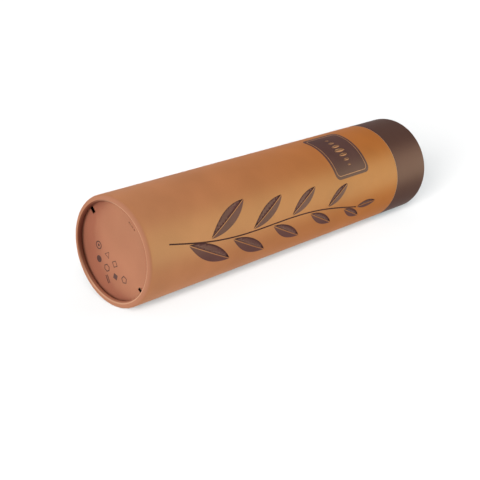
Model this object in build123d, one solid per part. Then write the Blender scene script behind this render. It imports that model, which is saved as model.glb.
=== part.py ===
from build123d import *
import math
import os

os.makedirs("parts", exist_ok=True)

# A round paperboard packing tube, standing on its base with its lid pushed on.
# Millimetres, +Z up, origin at the centre of the ring that the base stands on.
# Angles go round the Z axis from +X.

# Outside of the tube and lid
tube_diameter = 105.0
body_height = 364.0
lid_height = 55.0

# Board
wall = 2.0
inner_wall = 1.5
disc_thickness = 2.0

# Rolled rims: the wall turns in, leaves a slot and comes back up to the disc
roll_slot = 2.6
roll_inner_bend = 1.0
bend_flats = 3
disc_recess = 5.0
leg_bevel = 0.5
cut_edge_bevel = 0.35

# Neck that the lid pushes onto, and the play between round faces
neck_height = 38.0
neck_play = 0.3
neck_bevel = 0.4
disc_play = 0.1

# Two notches in the edge of the base disc
notch_width = 3.2
notch_depth = 9.5
notch_angles = (22.0, 208.0)

# Print on the paper, with a hair's breadth between the two round faces
print_thickness = 0.12
print_lift = 0.03

# Dark label panel, placed from the lid's seam
label_height = 55.5
label_width = 64.0
label_corner = 6.7
label_below_lid = 47.0
label_angle = -77.5

# Printed sprig: a wavy stem with a leaf at each step, on alternate sides
sprig_angle = -35.0
stem_bottom = 24.0
stem_height = 268.0
stem_lean = 28.0
stem_sway = 5.0
stem_width = 1.3
leaf_count = 9
leaf_first = 22.0
leaf_pitch = 28.0
leaf_length = 62.0
leaf_shrink = 3.2
leaf_fullness = 0.13
leaf_tilt = 27.0
leaf_gap = 1.4
vein_width = 0.7

# Values that follow from the sizes above
tube_radius = tube_diameter / 2
bore_radius = tube_radius - wall
total_height = body_height + lid_height
roll_width = 2 * wall + roll_slot
bend_radius = wall + roll_inner_bend
disc_radius = bore_radius - disc_play
disc_top = disc_recess + disc_thickness
neck_radius = bore_radius - neck_play
neck_top = body_height + neck_height
label_middle = body_height - label_below_lid - label_height / 2


def quarter_turn(middle, radius, start, end):
    """Points round a bend of the roll from one angle to another, as a few short flats."""
    points = []
    for step in range(bend_flats + 1):
        angle = math.radians(start + (end - start) * step / bend_flats)
        points.append((middle + radius * math.cos(angle), bend_radius + radius * math.sin(angle)))
    return points


def rolled_tube(height):
    """A tube whose lower edge is rolled inwards and turned back up as a short leg."""
    leg_inside = tube_radius - roll_width
    leg_outside = leg_inside + wall
    outer_bend = tube_radius - bend_radius
    inner_bend = leg_inside + bend_radius
    outline = Polyline(
        (bore_radius, height),
        (tube_radius - cut_edge_bevel, height),
        (tube_radius, height - cut_edge_bevel),
        *quarter_turn(outer_bend, bend_radius, 0, -90),
        *quarter_turn(inner_bend, bend_radius, -90, -180),
        (leg_inside, disc_recess - leg_bevel),
        (leg_inside + leg_bevel, disc_recess),
        (leg_outside, disc_recess),
        *quarter_turn(inner_bend, roll_inner_bend, -180, -90),
        *quarter_turn(outer_bend, roll_inner_bend, -90, 0),
        close=True,
    )
    return revolve(Plane.XZ * make_face(outline), Axis.Z)


def disc():
    """A plain board disc with its lower face at the height of the rolled leg's end."""
    return Pos(0, 0, disc_recess) * Cylinder(
        disc_radius, disc_thickness, align=(Align.CENTER, Align.CENTER, Align.MIN)
    )


def base_disc():
    """The base disc, with its notches cut in from the edge."""
    notch = Pos(disc_radius - notch_depth / 2, 0, disc_recess + disc_thickness / 2) * Box(
        notch_depth, notch_width, disc_thickness
    )
    return disc() - [Rot(0, 0, angle) * notch for angle in notch_angles]


def inner_tube():
    """The glued-in tube that stands on the base disc and rises past the body as the neck."""
    length = neck_top - disc_top
    section = Pos(neck_radius - inner_wall / 2, disc_top + length / 2) * Rectangle(inner_wall, length)
    mouth = section.vertices().sort_by(Axis.Y)[-2:]
    section = chamfer(mouth, neck_bevel)
    return revolve(Plane.XZ * section, Axis.Z)


def turned_over(shape):
    """The same shape upside down, under the top of the closed tube."""
    return Pos(0, 0, total_height) * mirror(shape, Plane.XY)


def facing(angle, height):
    """A plane through the axis that faces outwards: X runs round the tube and Y runs up."""
    outward = Vector(1, 0, 0).rotate(Axis.Z, angle)
    around = Vector(0, 1, 0).rotate(Axis.Z, angle)
    return Plane(origin=(0, 0, height), x_dir=around, z_dir=outward)


def printed(outline, angle, height):
    """A thin field of ink on the outside of the tube, seen from straight in front as its outline."""
    skin_middle = tube_radius + print_lift + print_thickness / 2
    skin = Pos(skin_middle, body_height / 2) * Rectangle(print_thickness, body_height)
    ring = revolve(Plane.XZ * skin, Axis.Z)
    return extrude(facing(angle, height) * outline, amount=tube_diameter) & ring


def arc_angle(distance):
    """The angle that a distance round the outside of the tube spans."""
    return math.degrees(distance / tube_radius)


def label_panel():
    """A rounded panel, made of two halves that overlap so that both ends keep their shape."""
    half_width = 0.6 * label_width
    shift = arc_angle(label_width / 2) - math.degrees(math.asin(half_width / 2 / tube_radius))
    outline = RectangleRounded(half_width, label_height, label_corner)
    left = printed(outline, label_angle - shift, label_middle)
    right = printed(outline, label_angle + shift, label_middle)
    return left + right


def stem_offset(share):
    """How far round the tube the stem has leant and swayed at a share of its height."""
    return stem_lean * share + stem_sway * math.sin(2 * math.pi * share)


def sprig_stem():
    """A narrow wavy line up the tube."""
    steps = 8
    points = [(stem_offset(i / steps), stem_height * i / steps) for i in range(steps + 1)]
    line = trace(Spline(points), stem_width)
    return printed(line, sprig_angle, stem_bottom)


def leaf_outline(length):
    """A pointed leaf along Y, split by a thin bare vein."""
    bulge = leaf_fullness * length
    tip = (0, length / 2)
    foot = (0, -length / 2)
    right = ThreePointArc(foot, (bulge, 0), tip)
    left = ThreePointArc(tip, (-bulge, 0), foot)
    return make_face([right, left]) - Rectangle(vein_width, length)


def tip_leaf():
    """The leaf that carries the stem on past its upper end."""
    length = leaf_length - leaf_shrink * leaf_count
    middle_up = stem_bottom + stem_height + leaf_gap + length / 2
    return printed(leaf_outline(length), sprig_angle + arc_angle(stem_offset(1)), middle_up)


def side_leaf(number):
    """One leaf, turned away from the stem to its own side."""
    side = 1 if number % 2 == 0 else -1
    length = leaf_length - leaf_shrink * number
    start = leaf_first + leaf_pitch * number
    tilt = math.radians(leaf_tilt)
    foot_around = stem_offset(start / stem_height) + side * (stem_width / 2 + leaf_gap)
    middle_around = foot_around + side * length / 2 * math.sin(tilt)
    middle_up = stem_bottom + start + length / 2 * math.cos(tilt)
    outline = Rot(0, 0, -side * leaf_tilt) * leaf_outline(length)
    return printed(outline, sprig_angle + arc_angle(middle_around), middle_up)


def sprig_print():
    """The stem and its leaves, side by side on the paper."""
    fields = sprig_stem().solids() + tip_leaf().solids()
    for number in range(leaf_count):
        fields += side_leaf(number).solids()
    return Compound(children=fields)


nodes = {
    "body_tube": rolled_tube(body_height),
    "base_disc": base_disc(),
    "inner_tube": inner_tube(),
    "lid_tube": turned_over(rolled_tube(lid_height)),
    "lid_disc": turned_over(disc()),
    "label_panel": label_panel(),
    "sprig_print": sprig_print(),
}

for name, shape in nodes.items():
    export_step(shape, f"parts/{name}.step")
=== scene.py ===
import bmesh
import bpy
import math
from mathutils import Matrix, Vector, geometry


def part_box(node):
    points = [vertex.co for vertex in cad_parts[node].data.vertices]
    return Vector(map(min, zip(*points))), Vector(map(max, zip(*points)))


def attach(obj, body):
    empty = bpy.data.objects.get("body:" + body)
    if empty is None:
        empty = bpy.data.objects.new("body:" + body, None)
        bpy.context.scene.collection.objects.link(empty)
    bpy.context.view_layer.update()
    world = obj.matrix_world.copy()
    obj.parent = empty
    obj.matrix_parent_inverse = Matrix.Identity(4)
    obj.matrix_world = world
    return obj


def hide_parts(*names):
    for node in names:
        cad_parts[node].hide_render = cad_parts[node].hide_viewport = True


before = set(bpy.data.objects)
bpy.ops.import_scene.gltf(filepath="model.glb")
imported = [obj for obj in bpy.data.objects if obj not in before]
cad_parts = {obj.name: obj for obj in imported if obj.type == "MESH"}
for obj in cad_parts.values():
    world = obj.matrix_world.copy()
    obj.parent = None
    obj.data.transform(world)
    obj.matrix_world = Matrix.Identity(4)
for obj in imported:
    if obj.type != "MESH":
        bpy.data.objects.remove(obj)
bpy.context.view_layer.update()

# A round paper packing tube that stands on its base. Metres, in the frame of the CAD model.
# Angles are in degrees round the Z axis from +X.
MM = 0.001
UP = (0, 0, 1)
TINY = 1e-6

# Sizes that the frame gives
_, body_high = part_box("body_tube")
_, lid_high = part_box("lid_tube")
disc_low, disc_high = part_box("base_disc")
lid_disc_low, lid_disc_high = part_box("lid_disc")
neck_low, neck_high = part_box("inner_tube")
label_low, label_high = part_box("label_panel")
RADIUS = body_high.x
SEAM_HEIGHT = body_high.z
TOP = lid_high.z
RECESS = disc_low.z

# Board and rolled rims
WALL = 2.0 * MM
NECK_WALL = 1.5 * MM
ROLL_WIDTH = 6.6 * MM
BEND_RADIUS = 3.0 * MM
INNER_BEND = 1.0 * MM
CUT_EDGE = 0.18 * MM
LEG_GAP = 1.0 * MM
DISC_EDGE = 0.25 * MM
NECK_EDGE = 0.4 * MM
NOTCH_WIDTH = 3.2 * MM
NOTCH_DEPTH = 9.5 * MM
NOTCH_ANGLES = (22, 208)

# The rim's inner shoulder, as angles on the rim's inner bend. On the body it carries painted shade
# and painted highlight
SHOULDER_START = -106
SHOULDER_END = -133

# How fine the round meshes are, and from what angle their edges are sharp
ROUND_STEPS = 320
ROW_STEP = 5 * MM
NECK_ROW_STEP = 4 * ROW_STEP
BOARD_ROW_STEP = 8 * ROW_STEP
BEND_STEPS = 9
SHARP_ANGLE = 35

# The upright share of a face's normal: above FLAT the face is level, and below the other two it
# belongs to the inside of a notch or to the side of a disc
FLAT = 0.99
NOTCH_LIMIT = 0.9
SIDE_LIMIT = 0.1

# The wrapped paper: an overlap seam at the back, with angles for its edge and its fall, and slight
# unevenness. Each wave has a strength, a number round the tube, radians to the metre and a start
PAPER_THICKNESS = 0.12 * MM
SEAM_FOOT = 0.001
SEAM_RISE = 0.08
SEAM_WIDTH = 13
BODY_SEAM = 150
LID_SEAM = 112
UNEVENNESS = 0.05 * MM
WAVES = ((0.2, 3, 37, 0), (0.2, 7, -71, 1.3), (0.1, 11, 113, 0.4))

# Ink: how far it stands out of the paper and reaches into it, how fine its mesh is, and how much
# of that spacing its inner points keep from its edge
INK_PROUD = 0.04 * MM
INK_DEPTH = 0.02 * MM
INK_MESH = 2 * MM
INK_CLEARANCE = 0.4
FILL_PRECISION = 1e-7

# Label panel, with a thin rule inside its edge and a small ornament
LABEL_WIDTH = 64 * MM
LABEL_CORNER = 6.7 * MM
LABEL_ANGLE = -77.5
LABEL_SIDE_POINTS = 36
LABEL_CORNER_STEPS = 8
RULE_INSET = 3.2 * MM
RULE_WIDTH = 0.55 * MM
ORNAMENT_REACH = 3
ORNAMENT_STEP = 6.2 * MM
ORNAMENT_LEAF = 18 * MM
ORNAMENT_SHRINK = 3.6 * MM

# Printed sprig, as in the CAD model
SPRIG_ANGLE = -35
STEM_BOTTOM = 24 * MM
STEM_HEIGHT = 268 * MM
STEM_LEAN = 28 * MM
STEM_SWAY = 5 * MM
STEM_WIDTH = 1.3 * MM
STEM_STEPS = 72
LEAF_COUNT = 9
LEAF_FIRST = 22 * MM
LEAF_PITCH = 28 * MM
LEAF_LENGTH = 62 * MM
LEAF_SHRINK = 3.2 * MM
LEAF_FULLNESS = 0.13
LEAF_TILT = 27
LEAF_GAP = 1.4 * MM
LEAF_STEPS = 22
VEIN_WIDTH = 0.7 * MM

# Small printed shapes on the base, in a frame that is turned to this angle, and short dark marks
# of painted shadow from a small gap at the rim
MARKS_ANGLE = -45
MARK_SIZE = 8.0 * MM
MARK_LINE = 1.1 * MM
GAP_SHADOW_WIDTH = 0.7 * MM
GAP_SHADOW_RADIUS = 37.8 * MM
GAP_SHADOW_ANGLES = ((-33, -27.5), (-26, -21.5), (-20, -16.5))

# Colours, linear
WHITE = (1, 1, 1)
BLACK = (0, 0, 0)
COPPER_NEAR_BASE = (0.515, 0.212, 0.097)
COPPER_NEAR_LID = (0.453, 0.145, 0.029)
COPPER_DISC = (0.375, 0.131, 0.078)
COPPER_RIM = (0.47, 0.205, 0.122)
# Painted shade and painted highlight on the base rim's inner shoulder: dark on one side, pale on the
# other
COPPER_SHOULDER_SHADE = (0.19, 0.056, 0.032)
COPPER_SHOULDER_HIGHLIGHT = (0.64, 0.34, 0.21)
# Painted shade in the base rim's fold: deep on one side, light on the other
COPPER_FOLD_DEEP_SHADE = (0.14, 0.040, 0.024)
COPPER_FOLD_LIGHT_SHADE = (0.46, 0.18, 0.105)
COPPER_LINE = (0.52, 0.25, 0.11)
BROWN = (0.087, 0.043, 0.033)
BROWN_RIM = (0.12, 0.065, 0.050)
# Painted shade in the lid rim's fold
BROWN_FOLD_SHADE = (0.060, 0.028, 0.022)
PLUM = (0.098, 0.046, 0.040)
LEAF_PLUM = (0.118, 0.050, 0.045)
BOARD = (0.50, 0.37, 0.25)
# Near-black board: painted shade inside the base's notches
NOTCH_SHADE = (0.022, 0.016, 0.013)
GRAIN_LIGHT = (1, 0.9, 0.8)
# How dark the painted shadow of a gap at the base's rim is, against the base's colour
GAP_SHADOW_SHADE = 0.62

# Where the paper's colour changes: up the body and at the rims. Across the base end, along one
# direction, the rim's inner shoulder goes from painted shade to painted highlight and its fold from
# deep to light painted shade
BODY_DRIFT = (0.01, 0.34)
COPPER_RIM_SPAN = (2.6 * MM, 0.3 * MM)
BROWN_RIM_SPAN = (TOP - 2.0 * MM, TOP - 0.2 * MM)
PAINTED_LIGHT_ANGLE = 8
SHOULDER_LIGHT_SPAN = (-42 * MM, -8 * MM)
FOLD_SHADE_SPAN = (-42 * MM, 10 * MM)

# How rough each surface is and how far that varies down and up, how much it reflects straight on,
# and in what tint
PAPER_ROUGHNESS = 0.48
PAPER_VARIES = (0.04, 0.05)
COPPER_SHEEN = (0.022, (0.9, 1, 0.35))
BROWN_SHEEN = (0.017, (1, 0.1, 0.1))
BOARD_ROUGHNESS = 0.85
BOARD_VARIES = (0.08, 0.08)
BOARD_GLOSS = 0.05
INK_ROUGHNESS = 0.5
INK_VARIES = (0.05, 0.06)
INK_GLOSS = 0.017
INK_TINT = (1, 0.6, 0.4)
LINE_GLOSS = 0.03
GAP_SHADOW_ROUGHNESS = 0.6
GAP_SHADOW_GLOSS = 0.015

# Textures: grains to the metre, how the board's fibres lie, the span of a noise that shows, how
# strongly it shows, the shades that it brings, and how deep its bumps are
FIBRE_GRAINS = 900
CLOUD_GRAINS = 22
INK_CLOUD_GRAINS = 30
RUB_GRAINS = 420
RIPPLE_GRAINS = 55
BOARD_GRAINS = 700
SPECK_GRAINS = 1600
BOARD_STRETCH = (1, 1, 0.35)
FIBRE_SPAN = (0.3, 0.7)
CLOUD_SPAN = (0.35, 0.65)
RUB_SPAN = (0.35, 0.75)
SPECK_SPAN = (0.66, 0.74)
INK_GAP_SPAN = (0.58, 0.75)
CLOUD_STRENGTH = 0.10
GRAIN_STRENGTH = 0.07
SPECK_STRENGTH = 0.5
INK_GAP_STRENGTH = 0.25
LEAST_RUB = 0.75
BOARD_SHADES = (0.82, 1.1)
SPECK_SHADE = 0.35
INK_SHADES = (0.9, 1.1)
INK_GAP_SHADE = 1.9
RIPPLE_BUMP = 0.12 * MM
FIBRE_BUMP = 0.035 * MM
BOARD_BUMP = 0.10 * MM
INK_BUMP = 0.03 * MM

# The camera of the photograph
CAMERA_AIM = (0.00128, 0.03951, 0.17952)
CAMERA_AZIMUTH = 42.789
CAMERA_ELEVATION = -43.172
CAMERA_ROLL = -70.490
CAMERA_DISTANCE = 1.02507
CAMERA_LENS = 74.478
CAMERA_CLIP = 0.01

# Light. A level of 1 shows a colour as it is written
WORLD_LEVEL = 0.85
SHEEN_LIGHT = (1, 0.97, 0.65)
BASE_LIGHT = (0.52, 1, 0.9)
STAGE_LEVEL = 1.04
TABLE_COLOUR = (0.222, 0.211, 0.208)
TABLE_LIGHT = 3.8
FLOOR_COLOUR = (0.38, 0.35, 0.34)
FLOOR_LIGHT = 1.34
TABLE_ANGLE = 69.6
STAGE_GAP = 0.25 * MM
STAGE_SIZE = 12.0


def direction(angle, elevation=0):
    """A unit vector at an angle round the Z axis and an elevation above the horizon."""
    a = math.radians(angle)
    e = math.radians(elevation)
    return Vector((math.cos(a) * math.cos(e), math.sin(a) * math.cos(e), math.sin(e)))


def spaced(start, end, step):
    """Values from start up to, but not including, end, evenly spaced and at most a step apart."""
    count = max(1, math.ceil(abs(end - start) / step - TINY))
    return [start + (end - start) * i / count for i in range(count)]


def arc(middle, radius, start, end, steps=BEND_STEPS):
    """Points of an arc, both ends included."""
    angles = [math.radians(start + (end - start) * i / steps) for i in range(steps + 1)]
    return [(middle[0] + radius * math.cos(a), middle[1] + radius * math.sin(a)) for a in angles]


# The paper's skin


def paper_seam(angle, seam):
    """How high the overlap of the paper stands at an angle: a sharp edge, then a slow fall."""
    past = (angle - seam) % 360
    if past < SEAM_RISE:
        return PAPER_THICKNESS * past / SEAM_RISE
    if past < SEAM_WIDTH:
        return PAPER_THICKNESS * (1 - (past - SEAM_RISE) / (SEAM_WIDTH - SEAM_RISE)) ** 0.5
    return 0


def skin(angle, height, seam):
    """How far the paper lies outside the true cylinder, below zero in its slight hollows."""
    a = math.radians(angle)
    wave = 0.5
    for strength, count, rise, start in WAVES:
        wave += strength * math.sin(count * a + rise * height + start)
    return paper_seam(angle, seam) - UNEVENNESS * wave


def around(seam=None):
    """Angles round the tube, with a pair close together at the paper's edge."""
    angles = [360 * i / ROUND_STEPS for i in range(ROUND_STEPS)]
    if seam is not None:
        angles += [seam + SEAM_FOOT, seam + SEAM_RISE]
    return sorted(angles)


# Meshes


def finished(bm, name, finishes):
    """A smooth-shaded object from a closed bmesh, with sharp edges where faces meet steeply."""
    bmesh.ops.recalc_face_normals(bm, faces=bm.faces)
    mesh = bpy.data.meshes.new(name)
    bm.to_mesh(mesh)
    bm.free()
    for finish in finishes:
        mesh.materials.append(finish)
    mesh.shade_smooth()
    mesh.set_sharp_from_angle(angle=math.radians(SHARP_ANGLE))
    piece = bpy.data.objects.new(name, mesh)
    bpy.context.scene.collection.objects.link(piece)
    return piece


def turned(name, outline, finishes, seam=None):
    """An outline carried round the axis. Each of its points is a radius, a height and the number
    of the finish that starts there. With a seam, the outside follows the paper's skin."""
    bm = bmesh.new()
    rings = []
    for angle in around(seam):
        out = direction(angle)
        ring = []
        for radius, height, _ in outline:
            if seam is not None:
                share = (radius - RADIUS + WALL) / WALL
                radius += skin(angle, height, seam) * min(max(share, 0), 1)
            ring.append(bm.verts.new((out.x * radius, out.y * radius, height)))
        rings.append(ring)
    count = len(outline)
    for one, other in zip(rings, rings[1:] + rings[:1]):
        for i in range(count):
            j = (i + 1) % count
            face = bm.faces.new((one[i], other[i], other[j], one[j]))
            face.material_index = outline[i][2]
    return finished(bm, name, finishes)


def rolled_outline(height):
    """The section of a tube whose lower edge is rolled in. Finish 0 is paper, 1 is board, 2 is the
    inner shoulder of the rim and 3 is the paper that is folded in past it. On the body, 2 and 3
    carry painted shade and painted highlight, and on the lid 3 carries painted shade."""
    bore = RADIUS - WALL
    leg_inside = RADIUS - ROLL_WIDTH
    outer_bend = (RADIUS - BEND_RADIUS, BEND_RADIUS)
    inner_bend = (leg_inside + BEND_RADIUS, BEND_RADIUS)
    leg_end = (leg_inside + WALL / 2, RECESS - LEG_GAP - WALL / 2)
    paper = [(RADIUS, z) for z in spaced(height - CUT_EDGE, BEND_RADIUS, ROW_STEP)]
    paper += arc(outer_bend, BEND_RADIUS, 0, -90)
    paper += arc(inner_bend, BEND_RADIUS, -90, SHOULDER_START, steps=2)
    inner_shoulder = arc(inner_bend, BEND_RADIUS, SHOULDER_START, SHOULDER_END, steps=3)
    fold = arc(inner_bend, BEND_RADIUS, SHOULDER_END, -180, steps=5)
    fold += arc(leg_end, WALL / 2, 180, 90, steps=5)
    board = arc(leg_end, WALL / 2, 90, 0, steps=4)[1:]
    board += arc(inner_bend, INNER_BEND, 180, 270, steps=4)
    board += arc(outer_bend, INNER_BEND, 270, 360, steps=4)
    board += [(bore, z) for z in spaced(BEND_RADIUS, height, BOARD_ROW_STEP)[1:]]
    board += [(bore, height), (RADIUS - CUT_EDGE, height)]
    parts = ((paper[:-1], 0), (inner_shoulder[:-1], 2), (fold, 3), (board, 1))
    return [(r, z, finish) for points, finish in parts for r, z in points]


def upside_down(outline):
    """The same section turned over, under the top of the closed tube."""
    return [(r, TOP - z, finish) for r, z, finish in outline]


def neck_outline():
    """The section of the inner tube, with both edges of its mouth rounded."""
    outer = neck_high.x
    inner = outer - NECK_WALL
    shoulder = neck_high.z - NECK_EDGE
    points = [(inner, z) for z in spaced(neck_low.z, shoulder, BOARD_ROW_STEP)]
    points += arc((inner + NECK_EDGE, shoulder), NECK_EDGE, 180, 90, steps=3)
    points += arc((outer - NECK_EDGE, shoulder), NECK_EDGE, 90, 0, steps=3)
    points += [(outer, z) for z in spaced(shoulder, neck_low.z, NECK_ROW_STEP)[1:]]
    points.append((outer, neck_low.z))
    return [(r, z, 0) for r, z in points]


def disc_outline(radius, notches):
    """A circle with slots cut in from its edge."""
    points = []
    half = math.degrees(NOTCH_WIDTH / 2 / radius)
    floor = radius - NOTCH_DEPTH
    for angle in around():
        if all(abs((angle - notch + 180) % 360 - 180) > half for notch in notches):
            points.append((angle, [direction(angle).xy * radius]))
    for notch in notches:
        out = direction(notch).xy
        side = direction(notch + 90).xy * NOTCH_WIDTH / 2
        mouth = math.sqrt(radius**2 - (NOTCH_WIDTH / 2) ** 2)
        corners = [out * mouth - side, out * floor - side, out * floor + side, out * mouth + side]
        points.append((notch, corners))
    return [point for _, group in sorted(points, key=lambda p: p[0]) for point in group]


def disc_finish(face, low, high, radius, paper_below):
    """The number of the finish on one face of a disc: 0 is paper, 1 is board and 2 is the inside
    of a notch, which is painted near-black as shade."""
    middle = face.calc_center_median()
    upright = abs(face.normal.z)
    if middle.xy.length < radius - WALL and upright < NOTCH_LIMIT:
        return 2
    half = (low + high) / 2
    papered = middle.z < half - DISC_EDGE if paper_below else middle.z > half + DISC_EDGE
    return 0 if papered and upright > SIDE_LIMIT else 1


def disc(name, low, high, radius, finishes, paper_below, notches=()):
    """A board disc with slightly rounded edges and paper on one face. A narrow ring inside each
    face's edge keeps the face shaded flat."""
    bm = bmesh.new()
    floor = bm.faces.new([bm.verts.new((p.x, p.y, low)) for p in disc_outline(radius, notches)])
    lifted = bmesh.ops.extrude_face_region(bm, geom=[floor])["geom"]
    bmesh.ops.translate(
        bm, vec=(0, 0, high - low), verts=[v for v in lifted if isinstance(v, bmesh.types.BMVert)]
    )
    bm.normal_update()
    rims = [e for e in bm.edges if abs(e.verts[0].co.z - e.verts[1].co.z) < TINY]
    bmesh.ops.bevel(bm, geom=rims, offset=DISC_EDGE, segments=3, profile=0.5, affect="EDGES")
    bm.normal_update()
    flats = [face for face in bm.faces if abs(face.normal.z) > FLAT]
    bmesh.ops.inset_region(bm, faces=flats, thickness=DISC_EDGE, use_even_offset=True)
    bm.normal_update()
    for face in bm.faces:
        face.material_index = disc_finish(face, low, high, radius, paper_below)
    return finished(bm, name, finishes)


# Flat outlines for the ink and for the painted shadow of a gap at the base's rim


def leaf_half(length, side):
    """Half a pointed leaf along Y, cut off at the edge of its bare vein."""
    bulge = LEAF_FULLNESS * length
    chord = length / 2
    radius = (chord**2 + bulge**2) / (2 * bulge)
    middle = bulge - radius
    edge = VEIN_WIDTH / 2
    reach = math.degrees(math.acos((edge - middle) / radius))
    curve = arc((middle, 0), radius, -reach, reach, LEAF_STEPS)
    return [(side * x, y) for x, y in curve]


def placed(points, turn=0, shift=(0, 0)):
    """Flat points turned by an angle and then moved."""
    t = math.radians(turn)
    return [
        (x * math.cos(t) - y * math.sin(t) + shift[0], x * math.sin(t) + y * math.cos(t) + shift[1])
        for x, y in points
    ]


def rounded_rectangle(width, height, corner):
    """The loop of a rectangle with round corners, with the same number of points at any size."""
    right, upper = width / 2 - corner, height / 2 - corner
    loop = []
    corners = ((right, upper, 0), (-right, upper, 90), (-right, -upper, 180), (right, -upper, 270))
    for i, (x, y, start) in enumerate(corners):
        curve = arc((x, y), corner, start, start + 90, LABEL_CORNER_STEPS)
        next_x, next_y, next_start = corners[(i + 1) % 4]
        first = arc((next_x, next_y), corner, next_start, next_start, 1)[0]
        last = curve[-1]
        loop += curve
        for k in range(1, LABEL_SIDE_POINTS):
            share = k / LABEL_SIDE_POINTS
            across = last[0] + (first[0] - last[0]) * share
            loop.append((across, last[1] + (first[1] - last[1]) * share))
    return loop


def regular(corners, radius, start=90):
    """The corners of a regular figure."""
    return arc((0, 0), radius, start, start + 360 * (corners - 1) / corners, corners - 1)


def inside(point, loop):
    """Whether a flat point lies inside a loop."""
    x, y = point
    hit = False
    for (x1, y1), (x2, y2) in zip(loop, loop[1:] + loop[:1]):
        if (y1 > y) != (y2 > y) and x < x1 + (y - y1) * (x2 - x1) / (y2 - y1):
            hit = not hit
    return hit


def clear_of(point, loop, gap):
    """Whether a flat point lies at least a gap away from the corners and edges of a loop."""
    p = Vector(point)
    for a, b in zip(loop, loop[1:] + loop[:1]):
        near, share = geometry.intersect_point_line(p, Vector(a), Vector(b))
        near = Vector(a) if share < 0 else Vector(b) if share > 1 else near
        if (near.xy - p).length < gap:
            return False
    return True


def dense(loop):
    """The same loop with points added on its long edges, so that it can be rolled round the tube."""
    points = []
    for a, b in zip(loop, loop[1:] + loop[:1]):
        count = max(1, math.ceil(math.dist(a, b) / INK_MESH))
        for i in range(count):
            points.append((a[0] + (b[0] - a[0]) * i / count, a[1] + (b[1] - a[1]) * i / count))
    return points


def filled(loop):
    """Triangles that fill a loop, with points inside it close enough to be rolled round the tube.
    Returns the points, which start with the loop's own, and the triangles."""
    xs = [x for x, _ in loop]
    ys = [y for _, y in loop]
    points = [Vector(p) for p in loop]
    for x in spaced(min(xs), max(xs), INK_MESH)[1:]:
        for y in spaced(min(ys), max(ys), 2 * INK_MESH)[1:]:
            if inside((x, y), loop) and clear_of((x, y), loop, INK_CLEARANCE * INK_MESH):
                points.append(Vector((x, y)))
    edge = list(range(len(loop)))
    result = geometry.delaunay_2d_cdt(points, [], [edge], 1, FILL_PRECISION)
    return [tuple(p) for p in result[0]], [tuple(f) for f in result[2]]


def field(loop):
    """A filled field: its points, its triangles and the loop of points round it."""
    loop = dense(loop)
    points, triangles = filled(loop)
    return points, triangles, [list(range(len(loop)))]


def band(outer, inner):
    """The strip between two loops that have as many points as each other."""
    count = len(outer)
    faces = []
    for i in range(count):
        j = (i + 1) % count
        faces.append((i, j, count + j, count + i))
    return outer + inner, faces, [list(range(count)), list(range(2 * count - 1, count - 1, -1))]


def on_tube(angle, height, seam):
    """Carries a flat point, and a distance out of the paper, to the outside of the tube."""

    def carry(point, out):
        turn = angle + math.degrees(point[0] / RADIUS)
        level = height + point[1]
        away = direction(turn)
        radius = RADIUS + skin(turn, level, seam) + out
        return Vector((away.x * radius, away.y * radius, level)), away

    return carry


def on_base(angle, shift):
    """Carries a flat point to the outside of the base disc, seen from below."""
    across = direction(angle + 90)
    up = direction(angle)

    def carry(point, out):
        place = across * (point[0] + shift[0]) + up * (point[1] + shift[1])
        return Vector((place.x, place.y, RECESS - out)), Vector((0, 0, -1))

    return carry


def ink(name, fields, finish):
    """Thin closed fields of ink, which also make the painted shadow of a gap at the base's rim. Each
    is a field's points, faces and loops, and how it is carried to the surface. The outer face is
    shaded as the smooth surface that it lies on."""
    points, faces, normals = [], [], []
    for (flat, cells, loops), carry in fields:
        start = len(points)
        count = len(flat)
        outer = [carry(p, INK_PROUD) for p in flat]
        points += [p for p, _ in outer] + [carry(p, -INK_DEPTH)[0] for p in flat]
        away = [n for _, n in outer]
        for cell in cells:
            a, b, c = (outer[i][0] for i in cell[:3])
            order = cell if (b - a).cross(c - a).dot(away[cell[0]]) > 0 else cell[::-1]
            faces.append([start + i for i in order])
            normals += [away[i] for i in order]
            faces.append([start + count + i for i in order[::-1]])
            normals += [-away[i] for i in order[::-1]]
        for loop in loops:
            for i, j in zip(loop, loop[1:] + loop[:1]):
                side = (outer[j][0] - outer[i][0]).cross(away[i]).normalized()
                faces.append([start + i, start + count + i, start + count + j, start + j])
                normals += [side] * 4
    mesh = bpy.data.meshes.new(name)
    mesh.from_pydata(points, [], faces)
    mesh.materials.append(finish)
    mesh.shade_smooth()
    mesh.normals_split_custom_set(normals)
    piece = bpy.data.objects.new(name, mesh)
    bpy.context.scene.collection.objects.link(piece)
    return piece


def stem_offset(share):
    """How far round the tube the stem has leant and swayed at a share of its height."""
    return STEM_LEAN * share + STEM_SWAY * math.sin(2 * math.pi * share)


def stem_band():
    """The narrow wavy stem as a closed loop of points."""
    left, right = [], []
    for i in range(STEM_STEPS + 1):
        share = i / STEM_STEPS
        slope = STEM_LEAN + 2 * math.pi * STEM_SWAY * math.cos(2 * math.pi * share)
        across = Vector((STEM_HEIGHT, -slope)).normalized() * STEM_WIDTH / 2
        middle = Vector((stem_offset(share), STEM_HEIGHT * share))
        left.append(tuple(middle - across))
        right.append(tuple(middle + across))
    faces = []
    count = STEM_STEPS + 1
    for i in range(STEM_STEPS):
        faces.append((i, i + 1, count + i + 1, count + i))
    loop = list(range(count)) + list(range(2 * count - 1, count - 1, -1))
    return left + right, faces, [loop]


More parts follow.
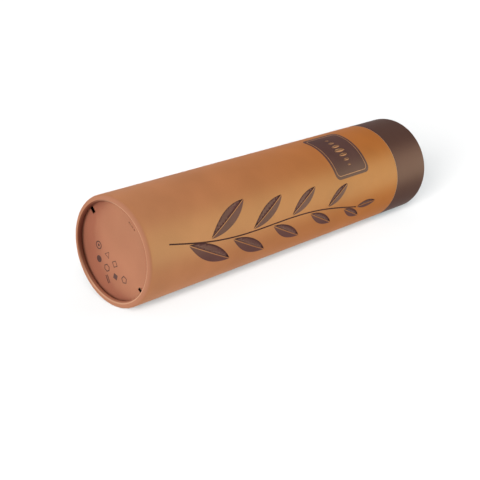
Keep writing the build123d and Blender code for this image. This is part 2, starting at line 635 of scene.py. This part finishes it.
def leaf_places():
    """The length, turn and middle of each leaf, the leaf at the tip last."""
    for number in range(LEAF_COUNT):
        side = 1 if number % 2 == 0 else -1
        length = LEAF_LENGTH - LEAF_SHRINK * number
        start = LEAF_FIRST + LEAF_PITCH * number
        tilt = math.radians(LEAF_TILT)
        foot = stem_offset(start / STEM_HEIGHT) + side * (STEM_WIDTH / 2 + LEAF_GAP)
        middle = (foot + side * length / 2 * math.sin(tilt), start + length / 2 * math.cos(tilt))
        yield length, -side * LEAF_TILT, middle
    length = LEAF_LENGTH - LEAF_SHRINK * LEAF_COUNT
    yield length, 0, (stem_offset(1), STEM_HEIGHT + LEAF_GAP + length / 2)


def sprig_fields():
    """The stem and both halves of each leaf."""
    carry = on_tube(SPRIG_ANGLE, STEM_BOTTOM, BODY_SEAM)
    fields = [(stem_band(), carry)]
    for length, turn, middle in leaf_places():
        for side in (1, -1):
            fields.append((field(placed(leaf_half(length, side), turn, middle)), carry))
    return fields


def label_carry():
    """Carries a flat point to the tube, round the middle of the label panel."""
    return on_tube(LABEL_ANGLE, (label_low.z + label_high.z) / 2, BODY_SEAM)


def label_fields():
    """The dark panel."""
    height = label_high.z - label_low.z
    return [(field(rounded_rectangle(LABEL_WIDTH, height, LABEL_CORNER)), label_carry())]


def raised(carry):
    """The same, one layer of ink further out."""
    return lambda point, out: carry(point, out + INK_PROUD)


def rule_fields():
    """A thin rule inside the panel's edge, and a small row of leaves at its middle."""
    height = label_high.z - label_low.z
    outer = rounded_rectangle(
        LABEL_WIDTH - 2 * RULE_INSET, height - 2 * RULE_INSET, LABEL_CORNER - RULE_INSET / 2
    )
    inset = 2 * (RULE_INSET + RULE_WIDTH)
    inner = rounded_rectangle(
        LABEL_WIDTH - inset, height - inset, LABEL_CORNER - RULE_INSET / 2 - RULE_WIDTH
    )
    carry = raised(label_carry())
    fields = [(band(outer, inner), carry)]
    for i in range(-ORNAMENT_REACH, ORNAMENT_REACH + 1):
        length = ORNAMENT_LEAF - ORNAMENT_SHRINK * abs(i)
        middle = (i * ORNAMENT_STEP, 0)
        for side in (1, -1):
            fields.append((field(placed(leaf_half(length, side), 0, middle)), carry))
    return fields


def mark_fields():
    """Plain small shapes on the base, each placed by its distance across and up, in millimetres."""
    outer, inner = MARK_SIZE / 2, MARK_SIZE / 2 - MARK_LINE

    def outline(corners, start=90):
        return band(regular(corners, outer, start), regular(corners, inner, start))

    def bar(shift):
        x, y = MARK_SIZE / 2, MARK_LINE / 2
        return field(placed([(-x, -y), (x, -y), (x, y), (-x, y)], 0, (0, shift)))

    shapes = [
        (outline(40), -10, -21),
        (field(regular(24, MARK_SIZE / 6)), -10, -21),
        (outline(3, 0), 1, -13),
        (field(regular(32, 0.42 * MARK_SIZE)), 2, -27),
        (outline(6), 12, -20),
        (outline(4, 45), 11, -7),
        (bar(MARK_LINE), 22, -24),
        (bar(-MARK_LINE), 22, -24),
        (field(regular(4, 0.45 * MARK_SIZE, 0)), 22, -12),
        (outline(5), 27, -1),
    ]
    return [(shape, on_base(MARKS_ANGLE, (x * MM, y * MM))) for shape, x, y in shapes]


def gap_shadow_fields():
    """Short broken dark marks on the base disc near its edge: painted shadow of a small gap at the
    rim.
    """
    fields = []
    for start, end in GAP_SHADOW_ANGLES:
        low = GAP_SHADOW_RADIUS - GAP_SHADOW_WIDTH / 2
        outer = [tuple(direction(90 - a).xy * (low + GAP_SHADOW_WIDTH)) for a in spaced(start, end, 1)]
        inner = [tuple(direction(90 - a).xy * low) for a in spaced(start, end, 1)]
        fields.append((field(outer + inner[::-1]), on_base(MARKS_ANGLE, (0, 0))))
    return fields


# Materials


def new_material(name, colour, roughness, gloss, tint=WHITE):
    """A material with its main shader set, and the shader's coordinates in metres."""
    material = bpy.data.materials.new(name)
    material.use_nodes = True
    nodes = material.node_tree.nodes
    shader = nodes["Principled BSDF"]
    shader.inputs["Base Color"].default_value = (*colour, 1)
    shader.inputs["Roughness"].default_value = roughness
    shader.inputs["Specular IOR Level"].default_value = gloss
    shader.inputs["Specular Tint"].default_value = (*tint, 1)
    place = nodes.new("ShaderNodeTexCoord").outputs["Object"]
    return material, shader, place


def noise(material, place, scale, detail, stretch=None):
    """Noise with this many grains to the metre, as a value from 0 to 1."""
    nodes, links = material.node_tree.nodes, material.node_tree.links
    if stretch:
        mapping = nodes.new("ShaderNodeMapping")
        mapping.inputs["Scale"].default_value = stretch
        links.new(place, mapping.inputs["Vector"])
        place = mapping.outputs["Vector"]
    texture = nodes.new("ShaderNodeTexNoise")
    texture.inputs["Scale"].default_value = scale
    texture.inputs["Detail"].default_value = detail
    links.new(place, texture.inputs["Vector"])
    return texture.outputs["Fac"]


def ranged(material, value, low, high, to_low, to_high):
    """A value carried from one range to another, and kept inside it."""
    node = material.node_tree.nodes.new("ShaderNodeMapRange")
    ends = {"From Min": low, "From Max": high, "To Min": to_low, "To Max": to_high}
    for name, number in ends.items():
        node.inputs[name].default_value = number
    material.node_tree.links.new(value, node.inputs["Value"])
    return node.outputs["Result"]


def mixed(material, share, one, other, blend="MIX"):
    """Two colours mixed by a share. Each is a colour or another node's output."""
    node = material.node_tree.nodes.new("ShaderNodeMix")
    node.data_type = "RGBA"
    node.blend_type = blend
    for name, value in (("Factor_Float", share), ("A_Color", one), ("B_Color", other)):
        socket = next(s for s in node.inputs if s.identifier == name)
        if isinstance(value, bpy.types.NodeSocket):
            material.node_tree.links.new(value, socket)
        elif name == "Factor_Float":
            socket.default_value = value
        else:
            socket.default_value = (*value, 1)
    return next(s for s in node.outputs if s.identifier == "Result_Color")


def bump(material, shader, layers):
    """Adds bumps to a shader. Each layer is a height from 0 to 1 and the distance that it spans."""
    nodes, links = material.node_tree.nodes, material.node_tree.links
    normal = None
    for height, distance in layers:
        node = nodes.new("ShaderNodeBump")
        node.inputs["Strength"].default_value = 1
        node.inputs["Distance"].default_value = distance
        links.new(height, node.inputs["Height"])
        if normal:
            links.new(normal, node.inputs["Normal"])
        normal = node.outputs["Normal"]
    links.new(normal, shader.inputs["Normal"])


def shade(colour, factor):
    """A colour made darker, or lighter by a factor over 1."""
    return tuple(c * factor for c in colour)


def distance_along(material, place, way):
    """The distance along one direction, in metres. Along UP it is the height above the ground."""
    node = material.node_tree.nodes.new("ShaderNodeVectorMath")
    node.operation = "DOT_PRODUCT"
    node.inputs[1].default_value = way
    material.node_tree.links.new(place, node.inputs[0])
    return node.outputs["Value"]


def rubbed_share(material, place, span):
    """How much the paper is worn off, over a span of heights and a little unevenly."""
    edge = ranged(material, distance_along(material, place, UP), *span, 0, 1)
    rub = ranged(material, noise(material, place, RUB_GRAINS, 3), *RUB_SPAN, LEAST_RUB, 1)
    both = material.node_tree.nodes.new("ShaderNodeMath")
    both.operation = "MULTIPLY"
    material.node_tree.links.new(edge, both.inputs[0])
    material.node_tree.links.new(rub, both.inputs[1])
    return both.outputs[0]


def surface(material, shader, base, fibres, roughness, varies, bumps):
    """Sets a shader's colour and bumps, and lets its roughness vary with the fibres."""
    links = material.node_tree.links
    links.new(base, shader.inputs["Base Color"])
    down, up = varies
    rough = ranged(material, fibres, *FIBRE_SPAN, roughness - down, roughness + up)
    links.new(rough, shader.inputs["Roughness"])
    bump(material, shader, bumps)


def paper_finish(name, colour, sheen, drift=None, rim=None):
    """Satin wrapping paper with fine fibres and faint clouds. Its colour may drift to another one
    over a span along one direction, and may be worn to another over a span of heights. On the
    base rim's shoulder and fold, the drift is painted shade and painted highlight."""
    material, shader, place = new_material(name, colour, PAPER_ROUGHNESS, *sheen)
    fibres = noise(material, place, FIBRE_GRAINS, 4)
    base = colour
    if drift:
        other, span, way = drift
        share = ranged(material, distance_along(material, place, way), *span, 0, 1)
        base = mixed(material, share, base, other)
    clouds = ranged(material, noise(material, place, CLOUD_GRAINS, 2), *CLOUD_SPAN, 0, CLOUD_STRENGTH)
    base = mixed(material, clouds, base, BLACK)
    grain = ranged(material, fibres, *FIBRE_SPAN, 0, GRAIN_STRENGTH)
    base = mixed(material, grain, base, GRAIN_LIGHT, "SOFT_LIGHT")
    if rim:
        rim_colour, rim_span = rim
        base = mixed(material, rubbed_share(material, place, rim_span), base, rim_colour)
    ripples = noise(material, place, RIPPLE_GRAINS, 2)
    bumps = [(ripples, RIPPLE_BUMP), (fibres, FIBRE_BUMP)]
    surface(material, shader, base, fibres, PAPER_ROUGHNESS, PAPER_VARIES, bumps)
    return material


def board_finish(name, colour):
    """Bare paperboard: grey-brown fibres, specks and a felt-like surface. Near-black, it is painted
    shade inside the base's notches.
    """
    material, shader, place = new_material(name, colour, BOARD_ROUGHNESS, BOARD_GLOSS)
    fibres = noise(material, place, BOARD_GRAINS, 5, BOARD_STRETCH)
    share = ranged(material, fibres, *FIBRE_SPAN, 0, 1)
    base = mixed(material, share, *(shade(colour, factor) for factor in BOARD_SHADES))
    specks = noise(material, place, SPECK_GRAINS, 2)
    share = ranged(material, specks, *SPECK_SPAN, 0, SPECK_STRENGTH)
    base = mixed(material, share, base, shade(colour, SPECK_SHADE))
    bumps = [(fibres, BOARD_BUMP)]
    surface(material, shader, base, fibres, BOARD_ROUGHNESS, BOARD_VARIES, bumps)
    return material


def ink_and_shadow_finish(name, colour, roughness=INK_ROUGHNESS, gloss=INK_GLOSS):
    """Printed ink, with the paper's fibres faintly showing, and the painted shadow of a gap at the
    rim.
    """
    material, shader, place = new_material(name, colour, roughness, gloss, INK_TINT)
    fibres = noise(material, place, FIBRE_GRAINS, 4)
    clouds = ranged(material, noise(material, place, INK_CLOUD_GRAINS, 2), *CLOUD_SPAN, 0, 1)
    base = mixed(material, clouds, *(shade(colour, factor) for factor in INK_SHADES))
    gaps = ranged(material, fibres, *INK_GAP_SPAN, 0, INK_GAP_STRENGTH)
    base = mixed(material, gaps, base, shade(colour, INK_GAP_SHADE))
    surface(material, shader, base, fibres, roughness, INK_VARIES, [(fibres, INK_BUMP)])
    return material


def stage_finish(name, colour, light):
    """White, seen from in front only. Part of the light is its own, so that shadows stay soft, and
    with the light that falls on it, it is just white."""
    material = bpy.data.materials.new(name)
    material.use_nodes = True
    nodes, links = material.node_tree.nodes, material.node_tree.links
    nodes.clear()
    cloth = nodes.new("ShaderNodeBsdfDiffuse")
    cloth.inputs["Color"].default_value = (*colour, 1)
    glow = nodes.new("ShaderNodeEmission")
    glow.inputs["Color"].default_value = (*(STAGE_LEVEL - c * light for c in colour), 1)
    both = nodes.new("ShaderNodeAddShader")
    clear = nodes.new("ShaderNodeBsdfTransparent")
    side = nodes.new("ShaderNodeNewGeometry")
    pick = nodes.new("ShaderNodeMixShader")
    output = nodes.new("ShaderNodeOutputMaterial")
    links.new(cloth.outputs[0], both.inputs[0])
    links.new(glow.outputs[0], both.inputs[1])
    links.new(side.outputs["Backfacing"], pick.inputs[0])
    links.new(both.outputs[0], pick.inputs[1])
    links.new(clear.outputs[0], pick.inputs[2])
    links.new(pick.outputs[0], output.inputs["Surface"])
    return material


# Camera, stage and light


def make_camera():
    """Sets up the camera of the photograph, with its roll."""
    back = direction(CAMERA_AZIMUTH - 90, CAMERA_ELEVATION)
    right = Vector(UP).cross(back).normalized()
    up = back.cross(right)
    turn = math.radians(CAMERA_ROLL)
    rolled_up = up * math.cos(turn) + right * math.sin(turn)
    rolled_right = rolled_up.cross(back)
    place = Vector(CAMERA_AIM) + back * CAMERA_DISTANCE
    data = bpy.data.cameras.new("camera")
    data.lens = CAMERA_LENS
    data.clip_start = CAMERA_CLIP
    camera = bpy.data.objects.new("camera", data)
    turned_axes = Matrix((rolled_right, rolled_up, back)).transposed().to_4x4()
    camera.matrix_world = Matrix.Translation(place) @ turned_axes
    bpy.context.scene.collection.objects.link(camera)
    bpy.context.scene.camera = camera


def make_stage(name, place, normal, finish):
    """A large white sheet that only the camera sees, so that it keeps no light from the object."""
    mesh = bpy.data.meshes.new(name)
    across = normal.orthogonal().normalized()
    along = normal.cross(across)
    half = STAGE_SIZE / 2
    square = ((-half, -half), (half, -half), (half, half), (-half, half))
    corners = [place + across * x + along * y for x, y in square]
    mesh.from_pydata(corners, [], [(0, 1, 2, 3)])
    mesh.materials.append(finish)
    sheet = bpy.data.objects.new(name, mesh)
    bpy.context.scene.collection.objects.link(sheet)
    sheet.visible_diffuse = False
    sheet.visible_glossy = False
    sheet.visible_transmission = False
    sheet.visible_shadow = False
    return sheet


def make_lamp(
    name, angle, elevation, spread, level, colour=WHITE, diffuse=True, glossy=True, only=None
):
    """A far soft lamp, as wide as its spread in degrees, that lights a surface facing it to a level.
    It may light one collection only."""
    data = bpy.data.lights.new(name, "SUN")
    data.color = colour
    data.angle = math.radians(spread)
    data.energy = level * math.pi
    lamp = bpy.data.objects.new(name, data)
    lamp.rotation_euler = direction(angle, elevation).to_track_quat("Z", "Y").to_euler()
    lamp.visible_diffuse = diffuse
    lamp.visible_glossy = glossy
    lamp.light_linking.receiver_collection = only
    bpy.context.scene.collection.objects.link(lamp)


def collected(name, pieces):
    """A collection of some pieces, for a lamp that lights only these."""
    collection = bpy.data.collections.new(name)
    for piece in pieces:
        collection.objects.link(piece)
    return collection


def make_world():
    """White to the camera and in reflections, and a plain even light elsewhere."""
    world = bpy.data.worlds.new("studio")
    world.use_nodes = True
    nodes, links = world.node_tree.nodes, world.node_tree.links
    background = nodes["Background"]
    background.inputs["Color"].default_value = (*WHITE, 1)
    path = nodes.new("ShaderNodeLightPath")
    seen = path.outputs["Is Camera Ray"]
    for kind in ("Is Glossy Ray", "Is Transmission Ray"):
        either = nodes.new("ShaderNodeMath")
        either.operation = "MAXIMUM"
        links.new(seen, either.inputs[0])
        links.new(path.outputs[kind], either.inputs[1])
        seen = either.outputs[0]
    level = nodes.new("ShaderNodeMapRange")
    level.inputs["To Min"].default_value = WORLD_LEVEL
    level.inputs["To Max"].default_value = 1
    links.new(seen, level.inputs["Value"])
    links.new(level.outputs["Result"], background.inputs["Strength"])
    bpy.context.scene.world = world


bpy.context.scene.view_settings.view_transform = "Standard"
make_camera()
make_world()

# The white ground: a floor under the standing tube, and the table that its side rests on in the
# view of the photograph
floor_white = stage_finish("floor_white", FLOOR_COLOUR, FLOOR_LIGHT)
floor_sheet = make_stage("floor", Vector((0, 0, -STAGE_GAP)), Vector(UP), floor_white)
table_white = stage_finish("table_white", TABLE_COLOUR, TABLE_LIGHT)
table_way = direction(TABLE_ANGLE)
table_sheet = make_stage("table", table_way * (RADIUS + STAGE_GAP), -table_way, table_white)

# The first three lamps light the ground only and give its shadows, the others light the tube
stage_only = collected("stage_only", [floor_sheet, table_sheet])
table_only = collected("table_only", [table_sheet])
make_lamp("table_lamp", angle=-50, elevation=-60, spread=25, level=7.6, only=stage_only)
make_lamp("contact_lamp", angle=-68, elevation=-32, spread=20, level=1.62, only=table_only)
make_lamp("floor_lamp", angle=-30, elevation=55, spread=25, level=0.6, only=stage_only)
make_lamp("key_lamp", angle=-75, elevation=30, spread=40, level=0.07, glossy=False)
make_lamp(
    "sheen_lamp", angle=-27, elevation=38, spread=60, level=11.2, colour=SHEEN_LIGHT, diffuse=False
)
make_lamp("under_lamp", angle=142, elevation=-65, spread=40, level=0.28, glossy=False)

# Finishes
painted_light_way = direction(PAINTED_LIGHT_ANGLE)
copper = paper_finish(
    "copper_paper", COPPER_NEAR_BASE, COPPER_SHEEN,
    drift=(COPPER_NEAR_LID, BODY_DRIFT, UP), rim=(COPPER_RIM, COPPER_RIM_SPAN),
)
copper_disc = paper_finish("copper_disc", COPPER_DISC, COPPER_SHEEN)
brown = paper_finish("brown_paper", BROWN, BROWN_SHEEN, rim=(BROWN_RIM, BROWN_RIM_SPAN))
# The base rim's inner shoulder: painted shade on one side and painted highlight on the other
copper_shoulder_shade_and_highlight = paper_finish(
    "copper_shoulder_shade_and_highlight", COPPER_SHOULDER_SHADE, COPPER_SHEEN, drift=(COPPER_SHOULDER_HIGHLIGHT, SHOULDER_LIGHT_SPAN, painted_light_way)
)
# The base rim's fold: painted shade, deeper on one side
copper_fold_painted_shade = paper_finish(
    "copper_fold_painted_shade", COPPER_FOLD_DEEP_SHADE, COPPER_SHEEN, drift=(COPPER_FOLD_LIGHT_SHADE, FOLD_SHADE_SPAN, painted_light_way)
)
# The lid rim's fold: painted shade
brown_fold_painted_shade = paper_finish("brown_fold_painted_shade", BROWN_FOLD_SHADE, BROWN_SHEEN)
brown_disc = paper_finish("brown_disc", BROWN, BROWN_SHEEN)
board = board_finish("bare_board", BOARD)
# Painted shade inside the base's notches
notch_shade_board = board_finish("notch_shade_board", NOTCH_SHADE)
plum = ink_and_shadow_finish("plum_ink", PLUM)
leaf_plum = ink_and_shadow_finish("leaf_ink", LEAF_PLUM)
copper_line = ink_and_shadow_finish("copper_line", COPPER_LINE, gloss=LINE_GLOSS)
# Painted shadow of a small gap at the base's rim
gap_shadow_finish = ink_and_shadow_finish("painted_gap_shadow", shade(COPPER_DISC, GAP_SHADOW_SHADE), GAP_SHADOW_ROUGHNESS, GAP_SHADOW_GLOSS)

# The tube
body_finishes = [copper, board, copper_shoulder_shade_and_highlight, copper_fold_painted_shade]
body_piece = turned("body_wrap", rolled_outline(SEAM_HEIGHT), body_finishes, BODY_SEAM)
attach(body_piece, "tube")
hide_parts("body_tube")

base_finishes = [copper_disc, board, notch_shade_board]
base_piece = disc(
    "base_board", disc_low.z, disc_high.z, disc_high.x, base_finishes,
    paper_below=True, notches=NOTCH_ANGLES,
)
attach(base_piece, "tube")
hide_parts("base_disc")

neck_piece = turned("neck_board", neck_outline(), [board])
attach(neck_piece, "tube")
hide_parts("inner_tube")

label_piece = ink("label_ink", label_fields(), plum)
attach(label_piece, "tube")
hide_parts("label_panel")

rule_piece = ink("label_rules", rule_fields(), copper_line)
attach(rule_piece, "tube")

sprig_piece = ink("sprig_ink", sprig_fields(), leaf_plum)
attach(sprig_piece, "tube")
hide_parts("sprig_print")

marks_piece = ink("base_marks", mark_fields(), plum)
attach(marks_piece, "tube")

# Dark marks near the base disc's edge: painted shadow of a small gap at the rim
gap_shadow_piece = ink("base_gap_shadow", gap_shadow_fields(), gap_shadow_finish)
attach(gap_shadow_piece, "tube")

# A low light across the base disc only, so that the rim shades one side of it
base_only = collected("base_only", [base_piece, marks_piece, gap_shadow_piece])
make_lamp(
    "base_lamp", angle=143, elevation=-8, spread=16, level=5.2, colour=BASE_LIGHT, glossy=False,
    only=base_only,
)

# The lid
lid_outline = upside_down(rolled_outline(TOP - SEAM_HEIGHT))
lid_piece = turned("lid_wrap", lid_outline, [brown, board, brown, brown_fold_painted_shade], LID_SEAM)
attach(lid_piece, "lid")
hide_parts("lid_tube")

lid_disc_piece = disc(
    "lid_board", lid_disc_low.z, lid_disc_high.z, lid_disc_high.x, [brown_disc, board],
    paper_below=False,
)
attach(lid_disc_piece, "lid")
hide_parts("lid_disc")

bpy.context.view_layer.update()
